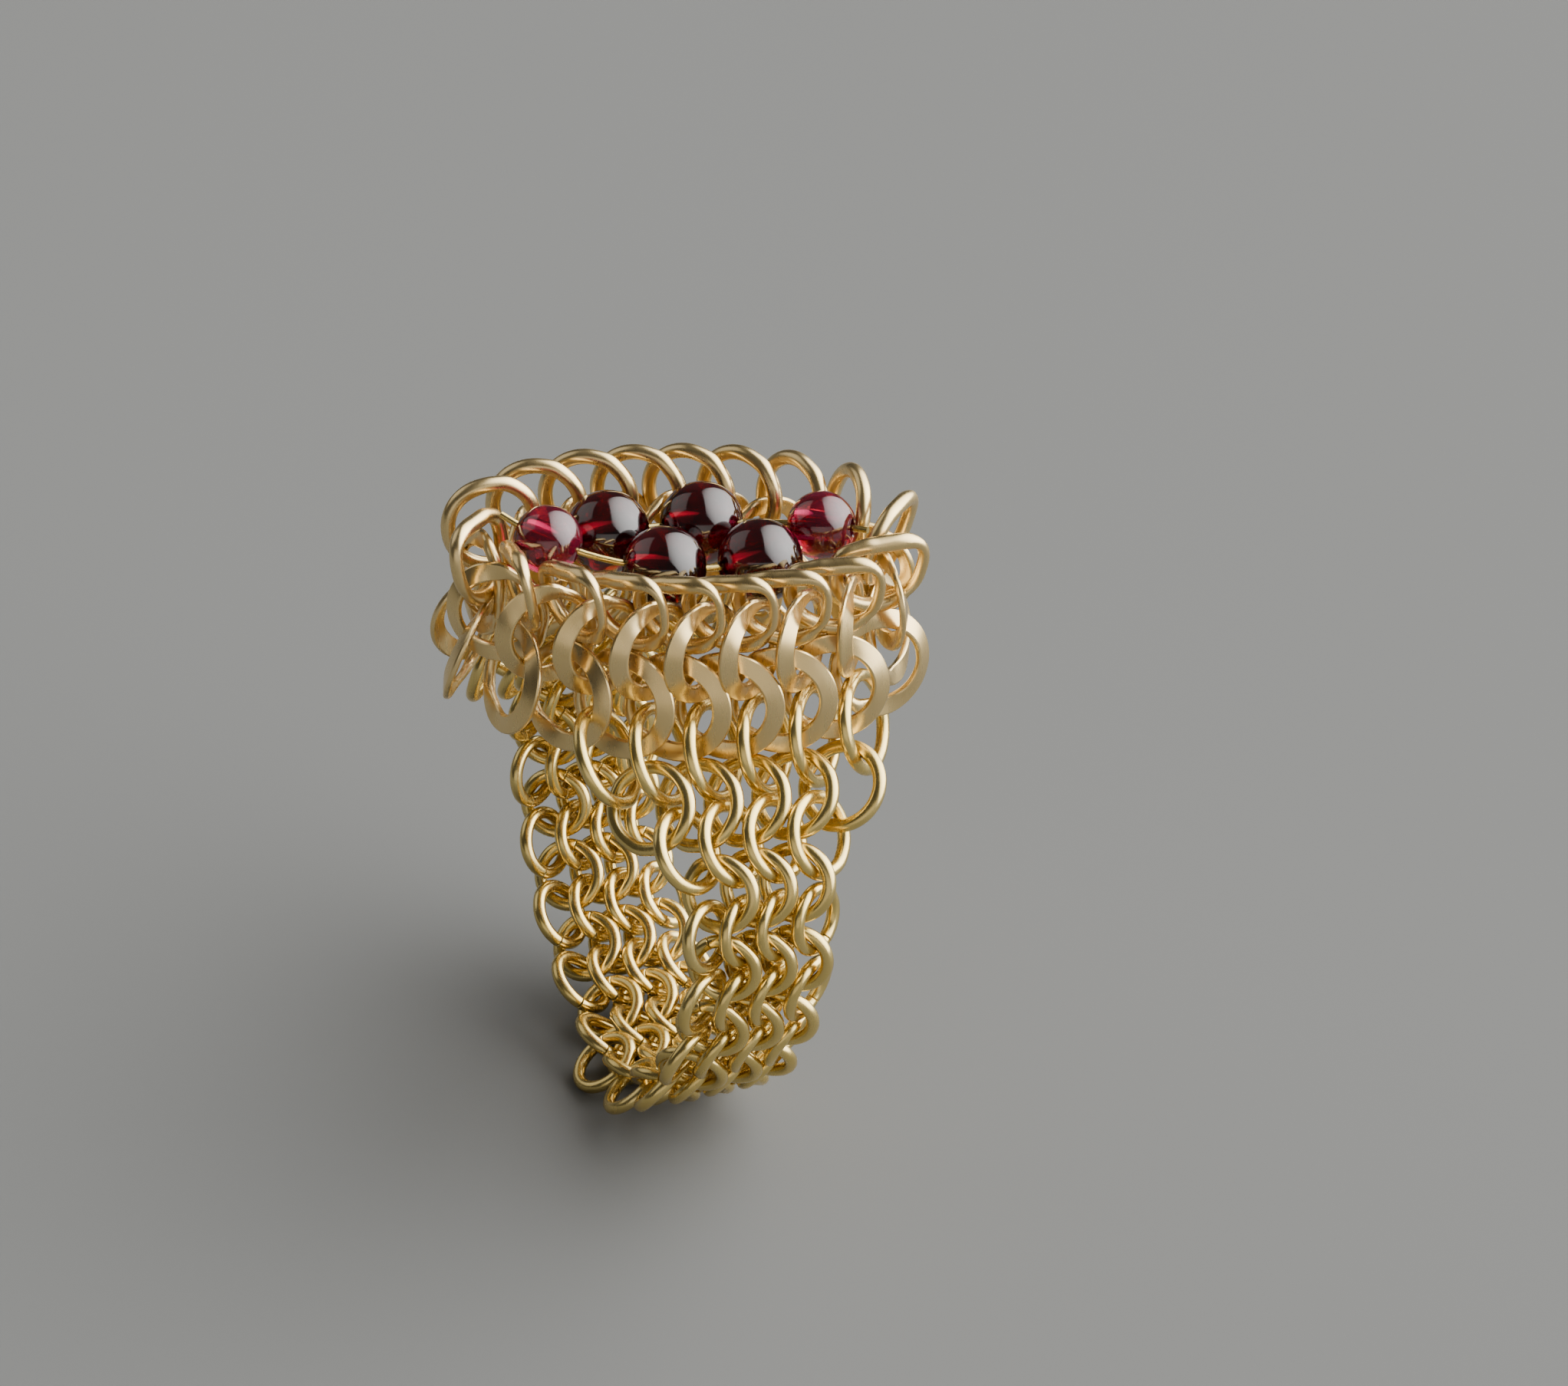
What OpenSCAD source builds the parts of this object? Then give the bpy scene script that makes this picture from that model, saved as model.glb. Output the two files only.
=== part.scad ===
// Chainmail finger ring: a boat-shaped basket of flattened gold links holds six garnet
// beads, and its two skirts narrow to a supple mail band that loops under the finger.
// X runs along the finger, Z is up through the basket, Y is across. Millimetres.
// The origin is where the saddle of the basket sits on top of the finger.

/* [Basket] */
// Turn of the basket about the vertical, against the finger
basket_twist = 17; // [16:1:18]
// Dip of the basket's fingertip end
basket_dip = 3; // [2.5:0.5:3.5]
// Middle radius of the rim links
rim_link_r = 1.95; // [1.94:0.01:1.96]
// Middle radius of the waist links
waist_link_r = 1.99; // [1.98:0.01:2]
// Middle radius of the base links
base_link_r = 2.11; // [2.1:0.01:2.12]
// Width of a flattened link's band
flat_w = 0.58; // [0.4:0.02:0.58]
// Thickness of a flattened link's band
flat_t = 0.4; // [0.3:0.02:0.4]

/* [Skirts and band] */
// Thickness of the round wire of the skirts
skirt_wire = 0.49; // [0.4:0.01:0.49]
// Thickness of the round wire of the band
band_wire = 0.46; // [0.4:0.02:0.46]
// Middle radius of the band's small links
band_link_r = 1.39; // [1.38:0.01:1.39]
// Distance from link to link across the band
band_pitch = 1.7; // [1.69:0.01:1.71]
// Lean of the band's links
band_lean = 34; // [33:1:35]

/* [Beads] */
// Diameter of the large beads
big_bead_d = 3.75; // [3.5:0.05:3.75]
// Diameter of the small beads
small_bead_d = 3.05; // [2.8:0.05:3.05]
// Diameter of the hole through each bead
bead_hole_d = 0.8; // [0.7:0.05:0.9]
// Thickness of the wire that the beads are strung on
string_wire = 0.3; // [0.25:0.05:0.35]

/* [Hidden] */
$fn = 48;

basket_links = 18;
// How pointed the basket's ends are, 1 being an ellipse
basket_point = 1.04;
// Share by which the links gather towards the basket's ends
basket_gather = 0.117;
// Columns by which the whole basket is turned in itself
basket_phase = 0.245;
// Middle radius of the band of mail where it loops round the finger, and the height of the
// loop's centre below the finger's top
loop_r = 10.56;
loop_drop = 9.76;
// Angle round the loop from one row of the band to the next
band_step = 9.45;

// Columns of the basket's rows
HALF_LENGTH = 0;
HALF_WIDTH = 1;
SIDE_Z = 2;
END_Z = 3;
// Half length, half width, height at the sides and height at the ends of the link middles,
// from a row above the rim down to a row below the base
BASKET_ROWS = [
    [10.05, 5.47, 7.58, 7.63],
    [9.14, 5.02, 5.33, 5.56],
    [8.93, 4.81, 3.08, 3.33],
    [9.42, 5.42, 0.58, 0.83],
    [10.45, 5.54, -2.35, -1.18]
];
// Lean of the links at the sides and at the ends, for the same rows
BASKET_LEAN = [[0, 0], [28.2, 44.8], [43.3, 36.4], [19.7, 38.5]];

// Columns of the skirts' rows
LINKS = 0;
PITCH = 1;
POLAR_R = 2;
POLAR_ANGLE = 3;
SMILE = 4;
SLOPE = 5;
LINK_R = 6;
LEAN = 7;
// Links, pitch, distance from the loop's centre and angle from the top of the row's middle,
// rise of its ends in degrees for each mm squared, slope in degrees for each mm, link and lean
SKIRT_ROWS = [
    [6, 2.35, 9.88, 35.4, 0.069, 0.456, 2.08, 45.6],
    [5, 2.23, 9.73, 49.2, 0.047, 0.544, 1.8, 39.5],
    [4, 2.04, 10.27, 59.4, -0.066, 0.519, 1.7, 30.5],
    [3, 1.78, 10.42, 70.9, -0.037, 0.312, 1.51, 39.6]
];
// The wrap's rows are numbered from the front of the base, under the finger, to the back
FIRST_SKIRT_ROW = 4;
FIRST_BAND_ROW = 8;
LAST_FRONT_ROW = 18;
LAST_ROW = 2 * LAST_FRONT_ROW + 1 - FIRST_SKIRT_ROW;
// Columns by which the skirts sit to the side of the basket's middle, and by which the back
// half of the wrap steps sideways from the front half
skirt_shift = 0.5;
back_step = 0.5;
// Angle round the loop, and the drift of the wrap along the finger there
DRIFT = [[40, 0.59], [60, -0.04], [75, -0.21], [90, -0.36], [120, -0.99], [150, -1.47],
         [190, -1.66], [240, -1.38], [300, -1.61], [320, -1.67]];

// The beads' middles along each wire, in the basket's own directions: along, across and up
BEADS_BACK = [[-3.3, 1.3, 5.46], [0.88, 1.8, 5.62], [6.06, 0.69, 6.18]];
BEADS_FRONT = [[-6.09, -0.76, 6.3], [-1.02, -1.82, 5.48], [3.21, -1.36, 5.59]];
// Length of each wire past the middles of its first and its last bead
RUN_BACK = [2.05, 2.2];
RUN_FRONT = [2.35, 1.95];

function unit(v) = v / norm(v);
function mix(a, b, t) = a + (b - a) * t;
function odd(n) = n % 2 == 1;
function turned(p, a) = [p.x * cos(a) - p.y * sin(a), p.x * sin(a) + p.y * cos(a), p.z];
function dipped(p, a) = [p.x * cos(a) + p.z * sin(a), p.y, p.z * cos(a) - p.x * sin(a)];
// From the basket's own directions to the ring's
function set_in_basket(p) = turned(dipped(p, basket_dip), -basket_twist);

// A pointed oval, and the angle on it at a share of the way round
function oval(t, half_l, half_w) =
    [half_l * cos(t), half_w * sin(t) * pow(abs(sin(t)), basket_point - 1)];
function waist_oval(t) = oval(t, BASKET_ROWS[2][HALF_LENGTH], BASKET_ROWS[2][HALF_WIDTH]);
ARC = [for (t = 0, run = 0; t <= 360; t = t + 3,
        run = run + norm(waist_oval(t) - waist_oval(t - 3))) [run, t]];
function gathered(share) =
    let (s = share + basket_phase / basket_links) s + basket_gather * sin(720 * s) / (4 * PI);
function oval_angle(share) =
    let (s = gathered(share)) lookup((s - floor(s)) * ARC[120][0], ARC);

// Middle of the circle through the first three of some points
function arc_middle(p) =
    let (u = p[1] - p[0], v = p[2] - p[0], n = cross(u, v))
    p[0] + cross((u * u) * v - (v * v) * u, n) / (2 * (n * n));

// A point of the basket's wall, at a share of the way round and a row number
function basket_row(row) =
    let (low = min(max(floor(row), 0), 3)) mix(BASKET_ROWS[low], BASKET_ROWS[low + 1], row - low);
function basket_point_at(share, row) =
    let (t = oval_angle(share), r = basket_row(row), xy = oval(t, r[HALF_LENGTH], r[HALF_WIDTH]))
    set_in_basket([xy.x, xy.y, mix(r[SIDE_Z], r[END_Z], pow(cos(t), 2))]);
function basket_lean(share, row) =
    mix(BASKET_LEAN[row][0], BASKET_LEAN[row][1], pow(cos(oval_angle(share)), 2));

// A row of the front half of the wrap, and a point of the whole wrap a number of columns
// from the front half's middle, going on into the basket's wall at both ends
function band_row(row) =
    let (left = LAST_FRONT_ROW - row)
    [odd(left) ? 3 : 4, band_pitch, loop_r, 180 - (left + 0.5) * band_step, 0, 0,
     band_link_r, band_lean];
function front_row(row) =
    row < FIRST_BAND_ROW ? SKIRT_ROWS[row - FIRST_SKIRT_ROW] : band_row(row);
function is_back(row) = row > LAST_FRONT_ROW;
function mirrored(row) = 2 * LAST_FRONT_ROW + 1 - row;
function wrap_row(row) = is_back(row) ? front_row(mirrored(row)) : front_row(row);
function row_middle(row) = is_back(row) ? back_step : 0;
function drift_rate(a) =
    let (reach = band_step) (lookup(a + reach, DRIFT) - lookup(a - reach, DRIFT)) / (2 * reach);
// Skirt rows slope as their table says, and band rows lie square to the drift
function wrap_angle(row, x) =
    let (r = wrap_row(row), side = is_back(row) ? -1 : 1,
         sloped = r[POLAR_ANGLE] - r[SMILE] * x * x + side * r[SLOPE] * x,
         a = is_back(row) ? 360 - sloped : sloped,
         front = is_back(row) ? mirrored(row) : row)
    front < FIRST_BAND_ROW ? a : a - x * drift_rate(a) * pow(180 / (PI * r[POLAR_R]), 2);
function wrap_point(row, column) =
    row < FIRST_SKIRT_ROW
    ? basket_point_at(0.75 + (column + skirt_shift) / basket_links, row)
    : row > LAST_ROW
    ? basket_point_at(0.25 - (column - back_step - skirt_shift) / basket_links, mirrored(row))
    : let (r = wrap_row(row), x = (column - row_middle(row)) * r[PITCH], a = wrap_angle(row, x))
      [x + row_middle(row) * band_pitch + lookup(a, DRIFT), -r[POLAR_R] * sin(a),
       r[POLAR_R] * cos(a) - loop_drop];

// Puts a flat link at a point, in line with its column and leaning across its row
module place(middle, down, along, lean) {
    d = unit(down);
    a = unit(along - d * (along * d));
    out = cross(d, a);
    side = a * cos(lean) + out * sin(lean);
    normal = out * cos(lean) - a * sin(lean);
    multmatrix([[d.x, side.x, normal.x, middle.x],
                [d.y, side.y, normal.y, middle.y],
                [d.z, side.z, normal.z, middle.z]])
        children();
}

// A hammered link: round wire flattened on both faces
module flat_link(middle_r) {
    rotate_extrude()
        translate([middle_r, 0])
            intersection() {
                circle(d = flat_w, $fn = 24);
                square([flat_w, flat_t], center = true);
            }
}

module round_link(middle_r, wire) {
    rotate_extrude()
        translate([middle_r, 0]) circle(d = wire, $fn = 24);
}

// One closed row of the basket. Odd rows lean right edge outward, even rows left edge.
module basket_row_links(row, middle_r) {
    near = 0.02;
    for (i = [0 : basket_links - 1]) {
        share = (i + (odd(row) ? 0 : 0.5)) / basket_links;
        place(basket_point_at(share, row),
              basket_point_at(share, row + 1) - basket_point_at(share, row - 1),
              basket_point_at(share + near, row) - basket_point_at(share - near, row),
              (odd(row) ? 1 : -1) * basket_lean(share, row))
            flat_link(middle_r);
    }
}

// Open rows of the wrap, from one row number to another
module wrap_rows(first, last, wire) {
    near = 0.1;
    for (row = [first : last]) {
        r = wrap_row(row);
        for (i = [0 : r[LINKS] - 1]) {
            column = row_middle(row) + i - (r[LINKS] - 1) / 2;
            place(wrap_point(row, column),
                  wrap_point(row + 1, column) - wrap_point(row - 1, column),
                  wrap_point(row, column + near) - wrap_point(row, column - near),
                  (odd(row) ? 1 : -1) * r[LEAN])
                round_link(r[LINK_R], wire);
        }
    }
}

// A ball drilled along the wire that runs through it
module bead(beads, i, d) {
    p = [for (b = beads) set_in_basket(b)];
    c = arc_middle(p);
    n = unit(cross(p[0] - c, p[2] - c));
    out = unit(p[i] - c);
    along = cross(n, out);
    multmatrix([[out.x, n.x, -along.x, p[i].x],
                [out.y, n.y, -along.y, p[i].y],
                [out.z, n.z, -along.z, p[i].z]])
        difference() {
            sphere(d = d);
            cylinder(d = bead_hole_d, h = 2 * d, center = true);
        }
}

// The wire through three beads, running on past the first and the last
module bead_wire(beads, run) {
    p = [for (b = beads) set_in_basket(b)];
    c = arc_middle(p);
    r = norm(p[0] - c);
    n = unit(cross(p[0] - c, p[2] - c));
    out = unit(p[0] - c);
    along = cross(n, out);
    turn = acos(out * unit(p[2] - c));
    mm_turn = 180 / (PI * r);
    multmatrix([[out.x, along.x, n.x, c.x],
                [out.y, along.y, n.y, c.y],
                [out.z, along.z, n.z, c.z]])
        rotate(-run[0] * mm_turn)
            rotate_extrude(angle = turn + (run[0] + run[1]) * mm_turn)
                translate([r, 0]) circle(d = string_wire, $fn = 24);
}

module rim_links() { color("khaki") basket_row_links(1, rim_link_r); }
module waist_links() { color("khaki") basket_row_links(2, waist_link_r); }
module base_links() { color("khaki") basket_row_links(3, base_link_r); }
module skirt_front() {
    color("goldenrod") wrap_rows(FIRST_SKIRT_ROW, FIRST_BAND_ROW - 1, skirt_wire);
}
module band_front() {
    color("goldenrod") wrap_rows(FIRST_BAND_ROW, LAST_FRONT_ROW, band_wire);
}
module band_back() {
    color("goldenrod") wrap_rows(LAST_FRONT_ROW + 1, mirrored(FIRST_BAND_ROW), band_wire);
}
module skirt_back() {
    color("goldenrod") wrap_rows(mirrored(FIRST_BAND_ROW) + 1, LAST_ROW, skirt_wire);
}
module large_bead_1() { color("darkred") bead(BEADS_BACK, 0, big_bead_d); }
module large_bead_2() { color("darkred") bead(BEADS_BACK, 1, big_bead_d); }
module large_bead_3() { color("darkred") bead(BEADS_FRONT, 1, big_bead_d); }
module large_bead_4() { color("darkred") bead(BEADS_FRONT, 2, big_bead_d); }
module small_bead_1() { color("crimson") bead(BEADS_BACK, 2, small_bead_d); }
module small_bead_2() { color("crimson") bead(BEADS_FRONT, 0, small_bead_d); }
module bead_wire_back() { color("khaki") bead_wire(BEADS_BACK, RUN_BACK); }
module bead_wire_front() { color("khaki") bead_wire(BEADS_FRONT, RUN_FRONT); }

rim_links();
waist_links();
base_links();
skirt_front();
skirt_back();
band_front();
band_back();
large_bead_1();
large_bead_2();
large_bead_3();
large_bead_4();
small_bead_1();
small_bead_2();
bead_wire_back();
bead_wire_front();
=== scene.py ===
import math

import bmesh
import bpy
import numpy as np
from mathutils import Matrix, Vector


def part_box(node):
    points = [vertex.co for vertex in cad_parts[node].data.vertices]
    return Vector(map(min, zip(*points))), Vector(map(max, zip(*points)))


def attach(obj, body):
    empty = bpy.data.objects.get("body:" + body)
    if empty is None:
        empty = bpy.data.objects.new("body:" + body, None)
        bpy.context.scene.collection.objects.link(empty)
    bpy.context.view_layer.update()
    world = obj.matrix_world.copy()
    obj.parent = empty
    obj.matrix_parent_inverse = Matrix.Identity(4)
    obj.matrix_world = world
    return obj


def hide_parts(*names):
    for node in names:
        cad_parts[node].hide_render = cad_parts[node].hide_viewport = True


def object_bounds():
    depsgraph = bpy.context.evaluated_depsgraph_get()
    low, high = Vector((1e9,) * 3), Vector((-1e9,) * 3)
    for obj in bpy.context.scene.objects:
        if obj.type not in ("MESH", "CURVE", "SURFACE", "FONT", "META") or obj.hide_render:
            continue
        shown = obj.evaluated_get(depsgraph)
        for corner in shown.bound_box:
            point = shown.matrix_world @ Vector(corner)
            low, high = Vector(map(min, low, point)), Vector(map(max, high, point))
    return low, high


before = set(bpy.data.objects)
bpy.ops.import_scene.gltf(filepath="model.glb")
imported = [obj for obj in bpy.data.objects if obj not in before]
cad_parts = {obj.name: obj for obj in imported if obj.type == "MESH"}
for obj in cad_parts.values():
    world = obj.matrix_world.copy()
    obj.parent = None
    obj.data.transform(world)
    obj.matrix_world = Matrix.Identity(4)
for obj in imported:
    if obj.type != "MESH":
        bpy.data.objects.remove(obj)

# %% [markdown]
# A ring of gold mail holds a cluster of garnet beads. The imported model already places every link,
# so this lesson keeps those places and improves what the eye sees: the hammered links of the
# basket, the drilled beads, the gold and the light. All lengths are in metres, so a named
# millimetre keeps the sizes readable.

MM = 0.001
cad_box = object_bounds()
print("the packed model has", len(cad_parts), "nodes and the box", cad_box)

# %% [markdown]
# The photograph was taken from a little above and from the left of the ring. A long lens about
# a third of a metre away gives its calm perspective. The camera is built from the direction it
# looks in, so its angle stays easy to read, and the aim point sits where the frame's middle was.

# %% The camera
CAMERA_AZIMUTH, CAMERA_ELEVATION = math.radians(-22), math.radians(32)
CAMERA_DISTANCE, CLIP_START = 350 * MM, 10 * MM
SENSOR_WIDTH, LENS = 36, 181.85  # the camera takes both in plain millimetres
FRAME_MIDDLE = (4.64 * MM, -1.75 * MM)


def looking(azimuth, elevation):
    """The directions in which a camera there looks, has its right side and has its top."""
    forward = Vector((-math.sin(azimuth) * math.cos(elevation),
                      math.cos(azimuth) * math.cos(elevation), -math.sin(elevation)))
    right = Vector((math.cos(azimuth), math.sin(azimuth), 0))
    return forward, right, right.cross(forward)


FORWARD, RIGHT, UP = looking(CAMERA_AZIMUTH, CAMERA_ELEVATION)
camera_data = bpy.data.cameras.new("photo_camera")
camera_data.sensor_width, camera_data.lens = SENSOR_WIDTH, LENS
camera_data.clip_start = CLIP_START
camera = bpy.data.objects.new("photo_camera", camera_data)
bpy.context.collection.objects.link(camera)
aim = RIGHT * FRAME_MIDDLE[0] + UP * FRAME_MIDDLE[1]
turn = Matrix((RIGHT, UP, -FORWARD)).transposed().to_4x4()
camera.matrix_world = Matrix.Translation(aim - FORWARD * CAMERA_DISTANCE) @ turn
bpy.context.scene.camera = camera
print("the camera stands at", [round(x, 3) for x in camera.matrix_world.translation])

# %% [markdown]
# Polished metal and stone show the room more than their own colour. The photograph has one large
# soft window to the right, which leaves pale patches on the beads and bright flats on the gold,
# while the rest of the room is dim. Three area lights do that: the window, a weak fill behind
# the ring, and a card low in front that the hammered flats reflect. A narrowed spread lets each
# light fade towards its edges, so reflections end softly. The dim grey world leaves the dark
# reflections that give gold its depth.

# %% Lights and the world
LIGHTS = [
    # name, place in mm from the ring, width and height in mm, power in watts, colour
    ("window", (345, -70, 168), 1150, 1200, 17.5, (1, 0.99, 0.97)),
    ("fill", (-250, 250, 250), 420, 340, 0.15, (1, 0.98, 0.95)),
    ("card", (-130, -330, 45), 520, 240, 0.14, (1, 0.95, 0.88)),
]
LIGHT_SPREAD = math.radians(128)
WORLD_COLOUR, WORLD_STRENGTH = (0.16, 0.16, 0.155, 1), 0.45


def soft_light(name, place, width, height, power, colour):
    """A rectangular area light that faces the ring."""
    data = bpy.data.lights.new(name, "AREA")
    data.shape, data.size, data.size_y = "RECTANGLE", width * MM, height * MM
    data.energy, data.color, data.spread = power, colour, LIGHT_SPREAD
    light = bpy.data.objects.new(name, data)
    bpy.context.collection.objects.link(light)
    spot = Vector(place) * MM
    turn = spot.to_track_quat("Z", "Y").to_matrix().to_4x4()
    light.matrix_world = Matrix.Translation(spot) @ turn


for row in LIGHTS:
    soft_light(*row)
world = bpy.data.worlds.new("dim_room")
bpy.context.scene.world = world
world.use_nodes = True
background = world.node_tree.nodes["Background"]
background.inputs["Color"].default_value = WORLD_COLOUR
background.inputs["Strength"].default_value = WORLD_STRENGTH
print("lights:", [row[0] for row in LIGHTS])

# %% [markdown]
# The floor is a plain pale grey sheet, just under the ring. It is only a stage and isn't part of
# the object. It has to fill the frame from any side, so it is large.

# %% The floor
FLOOR_SIDE, FLOOR_GAP = 4.0, 0.05 * MM
FLOOR_COLOUR, FLOOR_ROUGHNESS = (0.14, 0.143, 0.14, 1), 0.8
floor_height = min(cad_box[0][2], cad_box[1][2]) - FLOOR_GAP


def deselect_all():
    """Nothing is selected or active, so that the next operator acts on its own piece alone."""
    if bpy.context.mode != "OBJECT":
        bpy.ops.object.mode_set(mode="OBJECT")
    bpy.ops.object.select_all(action="DESELECT")


deselect_all()
bpy.ops.mesh.primitive_plane_add(size=FLOOR_SIDE, location=(0, 0, floor_height))
floor = bpy.context.object
floor.name = "floor"
bpy.ops.object.transform_apply(location=True, rotation=False, scale=False)
floor_finish = bpy.data.materials.new("pale_floor")
floor_finish.use_nodes = True
floor_shader = floor_finish.node_tree.nodes["Principled BSDF"]
floor_shader.inputs["Base Color"].default_value = FLOOR_COLOUR
floor_shader.inputs["Roughness"].default_value = FLOOR_ROUGHNESS
floor.data.materials.append(floor_finish)
print("the floor lies at", round(floor_height / MM, 2), "mm")

# %% [markdown]
# Gold that has been hammered, bent and worn isn't a flat colour. Fine drawing lines and
# scratches break up its shine, shallow dents bend its reflections, and its colour is deeper
# where the surface is rubbed less. Several finishes use the same marks, so they are one group
# of nodes with named inputs and outputs, built once.

# %% The marks on worked gold


def group_with(name, inputs, outputs):
    """A new node group with number inputs and the named outputs."""
    tree = bpy.data.node_groups.new(name, "ShaderNodeTree")
    for title, value in inputs:
        made = tree.interface.new_socket(name=title, in_out="INPUT", socket_type="NodeSocketFloat")
        made.default_value = value
    for title in outputs:
        tree.interface.new_socket(name=title, in_out="OUTPUT", socket_type="NodeSocketFloat")
    return tree, tree.nodes.new("NodeGroupInput"), tree.nodes.new("NodeGroupOutput")


def node(tree, kind, settings=(), **links):
    """One node of the tree, with its plain settings and with what its sockets are fed. A socket
    is called by its name, with _ for a space, or by i and its number."""
    made = tree.nodes.new(kind)
    for key, value in settings:
        setattr(made, key, value)
    for socket, source in links.items():
        by_number = socket[1:].isdigit()
        plug = made.inputs[int(socket[1:]) if by_number else socket.replace("_", " ")]
        if isinstance(source, (int, float, tuple)):
            plug.default_value = source
        else:
            tree.links.new(source, plug)
    return made


def maths(tree, operation, a, b):
    """One Math node, given as its result."""
    return node(tree, "ShaderNodeMath", [("operation", operation)], i0=a, i1=b).outputs[0]


def mixed_colour(tree, share, first, second):
    """A colour between two, given as its result."""
    mix = node(tree, "ShaderNodeMix", [("data_type", "RGBA")], Factor=share,
               i6=(*first, 1), i7=(*second, 1))
    return mix.outputs[2]


MARKS = [
    # mark, name and value of its scale, detail and roughness of its noise, whether it is drawn
    ("Dents", "Dent Scale", 900.0, 1.5, 0.45, False),
    ("Scratches", "Scratch Scale", 5000.0, 4.0, 0.6, True),
    ("Clouds", "Cloud Scale", 350.0, 3.0, 0.55, False),
]
DRAWN_STRETCH, DRAWN_TURN = (1.0, 0.35, 0.12), (0.5, 0.9, 0.3)

marks, marks_in, marks_out = group_with(
    "worked_gold_marks", [row[1:3] for row in MARKS], [row[0] for row in MARKS])
place = node(marks, "ShaderNodeTexCoord").outputs["Object"]
drawn = node(marks, "ShaderNodeMapping", Vector=place, Scale=DRAWN_STRETCH, Rotation=DRAWN_TURN)
for title, scale, _, detail, roughness, is_drawn in MARKS:
    noise = node(marks, "ShaderNodeTexNoise", Vector=drawn.outputs[0] if is_drawn else place,
                 Scale=marks_in.outputs[scale], Detail=detail, Roughness=roughness)
    marks.links.new(noise.outputs["Fac"], marks_out.inputs[title])
print("node group:", marks.name)

# %% [markdown]
# Each gold finish is a metal shader fed by the marks. The flattened links have a satin skin from
# the hammer, so their shine is wide. The round wire is smoother and more yellow. The values
# stand in one table, because the finishes differ by degree and not in kind.

# %% The gold finishes
GOLDS = {
    # pale and deep colour, low and high roughness, dent depth and scratch depth in mm
    "flattened_gold": ((0.86, 0.66, 0.35), (0.76, 0.55, 0.22), 0.26, 0.30, 0.004, 0.0001),
    "gold_wire": ((0.83, 0.65, 0.28), (0.67, 0.485, 0.13), 0.20, 0.30, 0.006, 0.0006),
}
SCRATCH_RANGE = (0.3, 0.7)


def gold_finish(name, pale, deep, smooth, rough, dent_depth, scratch_depth):
    """A gold material: colour, shine and relief come from the shared marks."""
    finish = bpy.data.materials.new(name)
    finish.use_nodes = True
    tree = finish.node_tree
    shader = tree.nodes["Principled BSDF"]
    shader.inputs["Metallic"].default_value = 1.0
    own = node(tree, "ShaderNodeGroup", [("node_tree", marks)])
    colour = mixed_colour(tree, own.outputs["Clouds"], deep, pale)
    tree.links.new(colour, shader.inputs["Base Color"])
    shine = node(tree, "ShaderNodeMapRange", Value=own.outputs["Scratches"],
                 From_Min=SCRATCH_RANGE[0], From_Max=SCRATCH_RANGE[1], To_Min=smooth, To_Max=rough)
    tree.links.new(shine.outputs["Result"], shader.inputs["Roughness"])
    relief = maths(tree, "ADD", maths(tree, "MULTIPLY", own.outputs["Dents"], dent_depth * MM),
                   maths(tree, "MULTIPLY", own.outputs["Scratches"], scratch_depth * MM))
    bump = node(tree, "ShaderNodeBump", Height=relief, Distance=1.0)
    tree.links.new(bump.outputs["Normal"], shader.inputs["Normal"])
    return finish


golds = {name: gold_finish(name, *row) for name, row in GOLDS.items()}
print("gold finishes:", sorted(golds))

# %% [markdown]
# The garnets are so deep a red that they read as black where nothing shines through them, with
# warmer patches inside and a hard polish outside. Clear stone with a strong tint gives both: the
# light goes through and bends as it does in garnet, and the clouds move the tint between black
# cherry and a brighter red. The two small beads are the same stone with a paler, pinker tint.

# %% The garnet finishes
GARNETS = {
    # tint of the dark and of the clear zones, and how much light gets through
    "garnet": ((0.04, 0.0006, 0.002), (0.17, 0.0015, 0.008), 0.92),
    "pink_garnet": ((0.28, 0.010, 0.045), (0.44, 0.022, 0.09), 0.88),
}
GARNET_IOR, GARNET_ROUGHNESS = 1.76, 0.08
GARNET_CLOUD_SCALE, GARNET_CLOUD_RANGE = 420.0, (0.42, 0.66)


def garnet_finish(name, dark, bright, clear):
    """A polished garnet: clear stone, tinted more in some zones than in others."""
    finish = bpy.data.materials.new(name)
    finish.use_nodes = True
    tree = finish.node_tree
    shader = tree.nodes["Principled BSDF"]
    shader.inputs["IOR"].default_value = GARNET_IOR
    shader.inputs["Roughness"].default_value = GARNET_ROUGHNESS
    shader.inputs["Transmission Weight"].default_value = clear
    own = node(tree, "ShaderNodeGroup", [("node_tree", marks)], Cloud_Scale=GARNET_CLOUD_SCALE)
    veil = node(tree, "ShaderNodeMapRange", Value=own.outputs["Clouds"],
                From_Min=GARNET_CLOUD_RANGE[0], From_Max=GARNET_CLOUD_RANGE[1])
    colour = mixed_colour(tree, veil.outputs["Result"], dark, bright)
    tree.links.new(colour, shader.inputs["Base Color"])
    return finish


garnets = {name: garnet_finish(name, *row) for name, row in GARNETS.items()}
print("garnet finishes:", sorted(garnets))

# %% [markdown]
# A link of the basket begins as a ring of round wire. Its outer half is then hammered into a flat
# band with crisp edges, while the half inside the basket stays round. A torus would be round all
# over, so the template is made as the smith makes it: a flat bar is spun through one part of the
# turn, a round wire through another, and the two are bridged where the one runs into the other.
# A narrow chamfer along the bar's edges then catches the light, as worn edges do.

# %% The tools that shape one link
RING_STEPS, SECTION_POINTS, BRIDGE_CUTS = 64, 16, 6
FLAT_SHARE, ROUND_SHARE = 0.60, 0.22
SHARP_FROM, EDGE_CHAMFER = math.radians(45), 0.045 * MM
FLAT_CREASE, ROUND_CREASE = math.radians(24), math.radians(40)
BARRED_FROM = 0.5  # from this squareness on, a link is a hammered bar with sharp edges
MERGE_DISTANCE = 0.002 * MM
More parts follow.
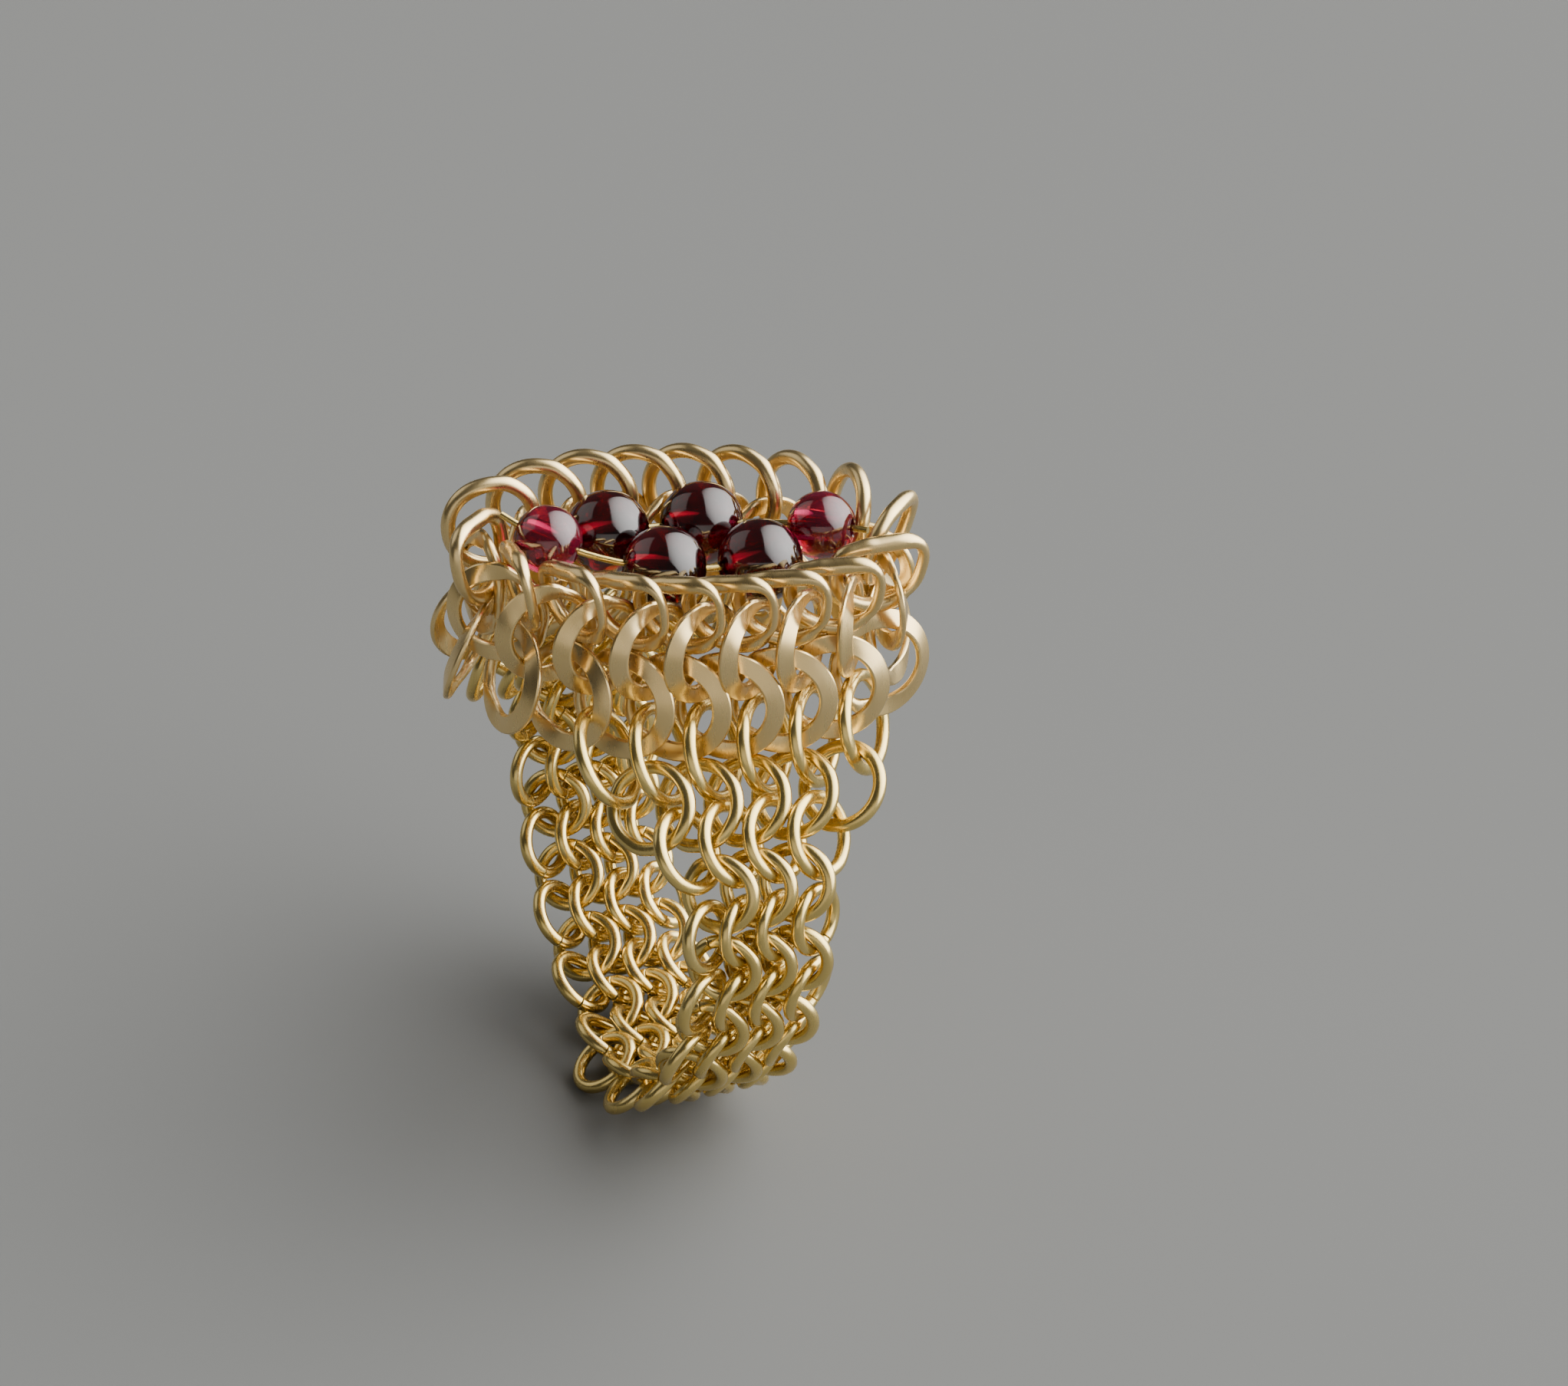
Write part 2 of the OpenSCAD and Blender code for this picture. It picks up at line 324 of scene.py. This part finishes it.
# Width and thickness of the hammered part, thickness of the round part, squareness of the edges
WIRES = {
    "rim_links": (0.68 * MM, 0.68 * MM, 0.68 * MM, 0.10),
    "waist_links": (0.88 * MM, 0.32 * MM, 0.54 * MM, 0.68),
    "base_links": (0.88 * MM, 0.32 * MM, 0.54 * MM, 0.68),
    "skirt_front": (0.62 * MM, 0.55 * MM, 0.59 * MM, 0.05),
    "skirt_back": (0.62 * MM, 0.55 * MM, 0.59 * MM, 0.05),
}


def select_verts(mesh, wanted):
    """Selects the vertices whose place passes the test, and nothing else."""
    edit = bmesh.from_edit_mesh(mesh)
    for vertex in edit.verts:
        vertex.select = bool(wanted(vertex.co))
    edit.select_flush_mode()
    bmesh.update_edit_mesh(mesh)


def select_open_edges(mesh, side=0, axis=2):
    """Selects the edges that only one face uses, on one side of the middle or on both."""
    bpy.ops.mesh.select_all(action="DESELECT")
    edit = bmesh.from_edit_mesh(mesh)
    for edge in edit.edges:
        if edge.is_boundary and (edge.verts[0].co + edge.verts[1].co)[axis] * side >= 0:
            edge.select = True
    edit.select_flush_mode()
    bmesh.update_edit_mesh(mesh)


def section(radius, width, thick, angle, corner):
    """Adds a wire's cross-section as a circle, squared off to a bar, at an angle of the link."""
    centre = Vector((radius * math.cos(angle), radius * math.sin(angle), 0))
    bpy.ops.mesh.primitive_circle_add(vertices=SECTION_POINTS, radius=0.5, location=centre,
                                      rotation=(math.pi / 2, 0, angle))
    edit = bmesh.from_edit_mesh(bpy.context.object.data)
    outward = Vector((math.cos(angle), math.sin(angle), 0))
    for vertex in (v for v in edit.verts if v.select):
        off = vertex.co - centre
        across, high = off.dot(outward) * 2, off.z * 2
        square = max(abs(across), abs(high))
        across, high = (x * (1 - corner) + x / square * corner for x in (across, high))
        vertex.co = centre + outward * across * width / 2 + Vector((0, 0, high * thick / 2))
    bmesh.update_edit_mesh(bpy.context.object.data)


def spun_part(radius, width, thick, start, share, corner):
    """Spins a section through its share of the turn, as a bar bent round a mandrel."""
    section(radius, width, thick, start, corner)
    bpy.ops.mesh.spin(steps=round(RING_STEPS * share), angle=-share * 2 * math.pi,
                      center=(0, 0, 0), axis=(0, 0, 1))


def link_template(name, radius, wire):
    """One hammered link round Z, with the middle of its flat part towards +X."""
    flat_width, flat_thick, round_wire, squareness = wire
    deselect_all()
    bpy.ops.mesh.primitive_circle_add(radius=radius)  # it only opens a mesh, and is deleted
    link = bpy.context.object
    link.name = name
    bpy.ops.object.mode_set(mode="EDIT")
    bpy.ops.mesh.select_all(action="SELECT")
    bpy.ops.mesh.delete(type="VERT")
    for width, thick, start, share, corner in (
            (flat_width, flat_thick, -FLAT_SHARE * math.pi, FLAT_SHARE, squareness),
            (round_wire, round_wire, (1 - ROUND_SHARE) * math.pi, ROUND_SHARE, 0.0)):
        bpy.ops.mesh.select_all(action="DESELECT")
        spun_part(radius, width, thick, start, share, corner)
    for side in (1, -1):
        select_open_edges(link.data, side, axis=1)
        bpy.ops.mesh.bridge_edge_loops(number_cuts=BRIDGE_CUTS, interpolation="SURFACE",
                                       smoothness=1.0)
    bpy.ops.mesh.select_all(action="SELECT")
    bpy.ops.mesh.remove_doubles(threshold=MERGE_DISTANCE)
    bpy.ops.mesh.normals_make_consistent(inside=False)
    barred = squareness > BARRED_FROM
    if barred:
        bpy.ops.mesh.select_mode(type="EDGE")
        bpy.ops.mesh.select_all(action="DESELECT")
        bpy.ops.mesh.edges_select_sharp(sharpness=SHARP_FROM)
        bpy.ops.mesh.bevel(offset=EDGE_CHAMFER, segments=1)
        bpy.ops.mesh.select_mode(type="VERT")
    bpy.ops.object.mode_set(mode="OBJECT")
    bpy.ops.object.shade_smooth_by_angle(angle=FLAT_CREASE if barred else ROUND_CREASE)
    return link


print("a link is spun from", round(RING_STEPS * FLAT_SHARE), "flat and",
      round(RING_STEPS * ROUND_SHARE), "round steps, with two bridges of", BRIDGE_CUTS, "cuts")

# %% [markdown]
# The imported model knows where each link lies, so nothing is placed by eye. A copy of the node is
# merged and parted into its loose links, and each gives its middle, the direction it faces and
# its radius. The hammered side looks out of the basket: the rows of a weave lean by turns, so
# the outer edge is the one that leads round the basket in one row and trails in the next.

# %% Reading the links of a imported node
BASKET_ROWS = ["rim_links", "waist_links", "base_links"]
READ_MERGE_DISTANCE = 0.0005 * MM


def loose_part(start, seen):
    """All vertices that hang together with the first one. They are added to those seen."""
    seen.add(start)
    part, wave = [start], [start]
    while wave:
        near = (edge.other_vert(vertex) for vertex in wave for edge in vertex.link_edges)
        wave = [vertex for vertex in near if vertex not in seen and not seen.add(vertex)]
        part += wave
    return part


def links_of(name):
    """The middle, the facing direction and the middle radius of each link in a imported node."""
    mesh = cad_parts[name].data.copy()
    edit = bmesh.new()
    edit.from_mesh(mesh)
    bmesh.ops.remove_doubles(edit, verts=edit.verts, dist=READ_MERGE_DISTANCE)
    found, seen = [], set()
    for start in edit.verts:
        if start in seen:
            continue
        points = np.array([vertex.co for vertex in loose_part(start, seen)])
        middle = points.mean(0)
        facing = np.linalg.svd(points - middle, full_matrices=False)[2][2]
        flat = (points - middle) - np.outer((points - middle) @ facing, facing)
        reach = np.linalg.norm(flat, axis=1)
        found.append((Vector(middle), Vector(facing), (reach.min() + reach.max()) / 2))
    edit.free()
    bpy.data.meshes.remove(mesh)
    return sorted(found, key=lambda link: math.atan2(link[0].y, link[0].x))


basket = {name: links_of(name) for name in BASKET_ROWS}
for name, links in basket.items():
    print(name, len(links), "links of radius", round(links[0][2] / MM, 3), "mm")

# %% [markdown]
# The smith hammers the finished mail on a rod, so the flat faces don't lie in each link's own
# plane: they lie in the wall. The wall's direction at a link comes from its neighbours, along its
# row and in the rows above and below it.

# %% The wall of the basket at each link


def near_middle(middle, row):
    """The point between the two links of another row that are nearest to a link."""
    nearest = sorted((other[0] for other in row), key=lambda p: (p - middle).length)[:2]
    return (nearest[0] + nearest[1]) / 2


def wall_facing(name, i):
    """The direction in which the wall faces, away from the basket, at a link of a row."""
    links, row, last = basket[name], BASKET_ROWS.index(name), len(BASKET_ROWS) - 1
    middle = links[i][0]
    along = links[(i + 1) % len(links)][0] - links[i - 1][0]
    above = near_middle(middle, basket[BASKET_ROWS[row - 1]]) if row > 0 else middle
    below = near_middle(middle, basket[BASKET_ROWS[row + 1]]) if row < last else middle
    out = along.cross(above - below).normalized()
    return out if out.dot(Vector((middle.x, middle.y, 0))) > 0 else -out


print("the wall at the first base link faces", [round(x, 2) for x in wall_facing("base_links", 0)])

# %% [markdown]
# The template is then copied to every place, each copy with its own mesh. Before a copy is set
# in place, its flat part is twisted into the wall. The rim's links on the near side were also
# tapped down from above, which turns their round tops into long, level strands, like a rope, and
# stands their outer arcs on edge between the strands.

# %% The hammered links of the basket
# 1 where the outer edge of a row's links leads round the basket, -1 where it trails
LEADING_ROWS = {"rim_links": 1, "waist_links": -1, "base_links": 1}
# How far above a link's outer side the middle of its flat part lies; below 0 it lies under it
FLAT_MIDDLE = {"rim_links": 0.0, "waist_links": math.radians(-30), "base_links": math.radians(-6)}
# The most that a flat part is twisted, where round the link the twist is gone, and its fade
MOST_TWIST, TWIST_FROM, TWIST_OVER = math.radians(58), math.radians(125), math.radians(40)
# The turn that stands a tapped link's outer arc on edge, the arc's middle and its half width
HOOP_TWIST, HOOP_MIDDLE, HOOP_FROM = math.radians(90), math.radians(12), math.radians(62)
# How much thinner that arc is, and how much thicker the strand on top, each with its fade
THIN_ARC, ARC_FROM, ARC_OVER = 0.42, math.radians(58), math.radians(34)
THICK_STRAND, STRAND_HALF, STRAND_OVER = 0.14, math.radians(48), math.radians(30)
# Height of a tapped top as a share of the radius, how square it is, and how it rises ahead
TAPPED_TOP, TAPPED_SQUARE, TAPPED_RISE = 0.68, 3.4, 0.34
# Where the rim is tapped: the turn of the basket on the finger, and the fade across its middle
BASKET_TWIST, TAPPED_FADE = math.radians(17), 3.0 * MM
PATH_STEP = math.radians(2)


def smooth_share(x):
    """0 to 1, eased at both ends."""
    x = np.clip(x, 0, 1)
    return x * x * (3 - 2 * x)


def placed(middle, side, facing):
    """The matrix that lays the template's X along its outer side and its Z along its facing."""
    turn = Matrix((side, facing.cross(side), facing)).transposed().to_4x4()
    return Matrix.Translation(middle) @ turn


def copy_of(template):
    """A copy of a template, with a mesh of its own."""
    copy = template.copy()
    copy.data = template.data.copy()
    bpy.context.collection.objects.link(copy)
    return copy


def link_matrix(middle, facing, leading):
    """The template's place: its flat side towards the side that shows outside the basket."""
    ahead = Vector((0, 0, 1)).cross(Vector((middle.x, middle.y, 0))).normalized() * leading
    side = (ahead - facing * ahead.dot(facing)).normalized()
    if facing.dot(Vector((middle.x, middle.y, 0))) < 0:
        facing = -facing
    return placed(middle, side, facing)


def hammer(mesh, radius, wall, top=1, tapped=0.0, flat_middle=0.0):
    """Shapes one link in its own axes. The flat part is twisted into the wall. As far as the
    link is tapped, its outer arc is thinned and stood on edge, its top strand is thickened, and
    its middle line is tapped down to a level top that rises ahead."""
    wall = wall if wall.z > 0 else -wall
    co = np.empty(len(mesh.vertices) * 3)
    mesh.vertices.foreach_get("co", co)
    x, y, z = co.reshape(-1, 3).T
    from_flat = np.arctan2(y, x)
    turn = (from_flat + top * flat_middle + math.pi) % (2 * math.pi) - math.pi
    outward = np.cos(turn), np.sin(turn)
    across = np.hypot(x, y) - radius
    in_wall = np.arctan2(wall.x * outward[0] + wall.y * outward[1], wall.z)
    twist = np.clip(in_wall, -MOST_TWIST, MOST_TWIST)
    twist = twist * smooth_share((TWIST_FROM - np.abs(from_flat)) / TWIST_OVER)
    raised = smooth_share((HOOP_FROM - np.abs(turn - top * HOOP_MIDDLE)) / TWIST_OVER)
    twist = twist + (in_wall + HOOP_TWIST - twist) * raised * tapped
    thin = THIN_ARC * tapped * smooth_share((ARC_FROM - np.abs(turn)) / ARC_OVER)
    from_top = np.abs(turn - top * math.pi / 2)
    thick = 1 + THICK_STRAND * tapped * smooth_share((STRAND_HALF - from_top) / STRAND_OVER)
    across, z = across * thick * (1 - thin / 2), z * thick * (1 - thin)
    across, z = (across * np.cos(twist) + z * np.sin(twist),
                 z * np.cos(twist) - across * np.sin(twist))
    height = 1 - tapped * (1 - TAPPED_TOP)
    square = 2 + tapped * (TAPPED_SQUARE - 2)

    def path(angle):
        """The wire's middle line: a circle whose top is tapped down and tilted up ahead."""
        ahead, up = np.cos(angle), np.sin(angle) * top
        upper = np.maximum(up, 0)
        reach = (np.abs(ahead) ** square + (upper / height) ** square) ** (-1 / square)
        reach = radius * np.where(upper > 0, reach, 1)
        rise = tapped * TAPPED_RISE * ahead * smooth_share(upper)
        return reach * ahead, top * reach * (up + rise)

    (x, y), (x0, y0), (x1, y1) = path(turn), path(turn - PATH_STEP), path(turn + PATH_STEP)
    long = np.hypot(x1 - x0, y1 - y0)
    made = np.stack([x + across * (y1 - y0) / long, y - across * (x1 - x0) / long, z], 1)
    mesh.vertices.foreach_set("co", made.ravel())
    mesh.update()


def one_piece(copies, title, name, finish):
    """Joins the links of a node into one piece that stands for it."""
    deselect_all()
    for copy in copies:
        copy.select_set(True)
    bpy.context.view_layer.objects.active = copies[0]
    bpy.ops.object.join()
    piece = bpy.context.object
    piece.name = title
    piece.data.materials.clear()
    piece.data.materials.append(golds[finish])
    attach(piece, "root")
    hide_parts(name)
    print(title, len(copies), "links,", len(piece.data.polygons), "faces")


def hammered_row(name, links):
    """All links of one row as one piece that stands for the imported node."""
    template = link_template("link_template", links[0][2], WIRES[name])
    copies = []
    for i, (middle, facing, radius) in enumerate(links):
        copy = copy_of(template)
        place = link_matrix(middle, facing, LEADING_ROWS[name])
        wall = place.to_3x3().inverted() @ wall_facing(name, i)
        across_basket = middle.x * math.sin(BASKET_TWIST) + middle.y * math.cos(BASKET_TWIST)
        tapped = smooth_share(0.5 - across_basket / TAPPED_FADE / 2) if name == "rim_links" else 0
        top = 1 if place.col[1].z > 0 else -1
        hammer(copy.data, radius, wall, top, float(tapped), FLAT_MIDDLE[name])
        copy.data.transform(place)
        copies.append(copy)
    bpy.data.objects.remove(template)
    one_piece(copies, "hammered_" + name, name, "flattened_gold")


for name, links in basket.items():
    hammered_row(name, links)

# %% [markdown]
# The skirts and the band are closed jump rings. Wire is wound on a rod, cut into rings, and each
# ring is closed through its neighbours, so that its two ends meet in a hairline joint. The ring
# is therefore spun through a little less than a whole turn, with its two ends filled and broken
# by a small bevel. The skirts' rings were then dressed with light hammer blows on the outside.

# %% The jump rings of the skirts and the band
BAND_WIRE, JOINT, JOINT_BEVEL = 0.59 * MM, 0.03 * MM, 0.03 * MM
BAND_STEPS, BAND_POINTS = 44, 12
JOINT_PLACE = math.radians(118)
LOOP_MIDDLE = Vector((0, 0, -9.8)) * MM  # of the loop that the mail makes round the finger


def jump_ring(name, radius, wire):
    """One closed ring of round wire round Z, whose joint lies to one side of -X."""
    deselect_all()
    gap = JOINT / radius
    start, turn = JOINT_PLACE + gap / 2, gap - 2 * math.pi
    centre = (radius * math.cos(start), radius * math.sin(start), 0)
    bpy.ops.mesh.primitive_circle_add(vertices=BAND_POINTS, radius=wire / 2, location=centre,
                                      rotation=(math.pi / 2, 0, start))
    ring = bpy.context.object
    ring.name = name
    bpy.ops.object.transform_apply(location=True, rotation=True, scale=True)
    bpy.ops.object.mode_set(mode="EDIT")
    bpy.ops.mesh.select_all(action="SELECT")
    bpy.ops.mesh.spin(steps=BAND_STEPS, angle=turn, center=(0, 0, 0), axis=(0, 0, 1))
    select_open_edges(ring.data)
    bpy.ops.mesh.edge_face_add()
    bpy.ops.mesh.select_all(action="DESELECT")
    edit = bmesh.from_edit_mesh(ring.data)
    for face in edit.faces:
        if len(face.verts) == BAND_POINTS:
            face.select = True
    bmesh.update_edit_mesh(ring.data)
    bpy.ops.mesh.bevel(offset=JOINT_BEVEL, segments=1)
    bpy.ops.mesh.select_all(action="SELECT")
    bpy.ops.mesh.normals_make_consistent(inside=False)
    bpy.ops.object.mode_set(mode="OBJECT")
    bpy.ops.object.shade_smooth_by_angle(angle=ROUND_CREASE)
    return ring


def off_the_finger(middle):
    """The direction that leads away from the finger at a place on the wrap."""
    return Vector((0, middle.y - LOOP_MIDDLE.y, middle.z - LOOP_MIDDLE.z)).normalized()


def wrap_matrix(middle, facing):
    """The template's place: its outer side away from the finger."""
    out = off_the_finger(middle)
    down = Vector((1, 0, 0)).cross(out)
    side = out - facing * out.dot(facing)
    side = (side - down * side.dot(down)).normalized()
    side = (side - facing * side.dot(facing)).normalized()
    if facing.dot(out) < 0:
        facing = -facing
    return placed(middle, side, facing)


def wrap_piece(name, hammered):
    """The rings of a skirt or of a half of the band, each from a template of its own size."""
    templates, copies = {}, []
    for middle, facing, radius in links_of(name):
        size = round(radius / MM, 2)
        if size not in templates:
            templates[size] = (link_template("skirt_template", radius, WIRES[name]) if hammered
                               else jump_ring("band_template", radius, BAND_WIRE))
        copy = copy_of(templates[size])
        place = wrap_matrix(middle, facing)
        if hammered:
            hammer(copy.data, radius, place.to_3x3().inverted() @ off_the_finger(middle))
        copy.data.transform(place)
        copies.append(copy)
    for template in templates.values():
        bpy.data.objects.remove(template)
    one_piece(copies, "ringed_" + name, name, "gold_wire")


for name in ("skirt_front", "skirt_back"):
    wrap_piece(name, hammered=True)
for name in ("band_front", "band_back"):
    wrap_piece(name, hammered=False)

# %% [markdown]
# The garnets are round beads, drilled for the wire that carries them. A sphere primitive has
# poles and no hole, so the caps round the poles are cut away, and the two rims are joined through
# the bead by a straight bore, with a small chamfer where the drill came out.

# %% The drilled beads
BEAD_ROWS = [["large_bead_1", "large_bead_2", "small_bead_1"],
             ["small_bead_2", "large_bead_3", "large_bead_4"]]
BORE_RADIUS, CHAMFER = 0.40 * MM, 0.06 * MM
BEAD_SEGMENTS, BEAD_RINGS, BEAD_CREASE = 64, 48, math.radians(35)


def bead_place(name):
    """The middle and the radius of a packed bead."""
    low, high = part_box(name)
    return (low + high) / 2, max(high - low) / 2


def drilled_bead(name, middle, radius, axis, finish):
    """A polished bead with a bore along its axis."""
    deselect_all()
    bpy.ops.mesh.primitive_uv_sphere_add(segments=BEAD_SEGMENTS, ring_count=BEAD_RINGS,
                                         radius=radius)
    bead = bpy.context.object
    bead.name = "polished_" + name
    bpy.ops.object.mode_set(mode="EDIT")
    bpy.ops.mesh.select_all(action="DESELECT")
    select_verts(bead.data, lambda co: math.hypot(co.x, co.y) < BORE_RADIUS)
    bpy.ops.mesh.delete(type="VERT")
    rim = BORE_RADIUS + CHAMFER
    inward = BORE_RADIUS / rim
    for side in (1, -1):
        select_open_edges(bead.data, side)
        edit = bmesh.from_edit_mesh(bead.data)
        reach = max(math.hypot(v.co.x, v.co.y) for v in edit.verts if v.select)
        bpy.ops.transform.resize(value=(rim / reach, rim / reach, 1), center_override=(0, 0, 0))
        bpy.ops.mesh.extrude_edges_move()
        bpy.ops.transform.resize(value=(inward, inward, 1), center_override=(0, 0, 0))
        bpy.ops.transform.translate(value=(0, 0, -side * CHAMFER))
    select_open_edges(bead.data)
    bpy.ops.mesh.bridge_edge_loops()
    bpy.ops.mesh.select_all(action="SELECT")
    bpy.ops.mesh.normals_make_consistent(inside=False)
    bpy.ops.object.mode_set(mode="OBJECT")
    bpy.ops.object.shade_smooth_by_angle(angle=BEAD_CREASE)
    turn = axis.to_track_quat("Z", "Y").to_matrix().to_4x4()
    bead.data.transform(Matrix.Translation(middle) @ turn)
    bead.data.materials.clear()
    bead.data.materials.append(garnets[finish])
    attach(bead, "root")
    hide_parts(name)


# Each bore lies along a smooth curve through the three beads of its row, as the wire does
for names in BEAD_ROWS:
    places = [bead_place(name) for name in names]
    a, b, c = (middle for middle, _ in places)
    turn_axis = (b - a).cross(c - b).normalized()
    chords = ((b - a).normalized(), (c - b).normalized())
    axes = [chords[0], (chords[0] + chords[1]).normalized(), chords[1]]
    bend = chords[0].angle(chords[1]) / 2
    axes[0] = Matrix.Rotation(-bend, 3, turn_axis) @ chords[0]
    axes[2] = Matrix.Rotation(bend, 3, turn_axis) @ chords[1]
    for name, (middle, radius), axis in zip(names, places, axes):
        finish = "pink_garnet" if name.startswith("small") else "garnet"
        drilled_bead(name, middle, radius, axis, finish)
    print("beads", names, "radii", [round(radius / MM, 2) for _, radius in places])

# %% [markdown]
# The two bead wires are plain round wire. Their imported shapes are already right, so they stay and
# only get their finish in their own slots.

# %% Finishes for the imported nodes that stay
KEPT_WIRE = ["bead_wire_back", "bead_wire_front"]
for name in KEPT_WIRE:
    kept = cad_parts[name]
    if not kept.material_slots:
        kept.data.materials.append(golds["gold_wire"])
    for holder in kept.material_slots:
        holder.material = golds["gold_wire"]
print("kept nodes:", KEPT_WIRE)
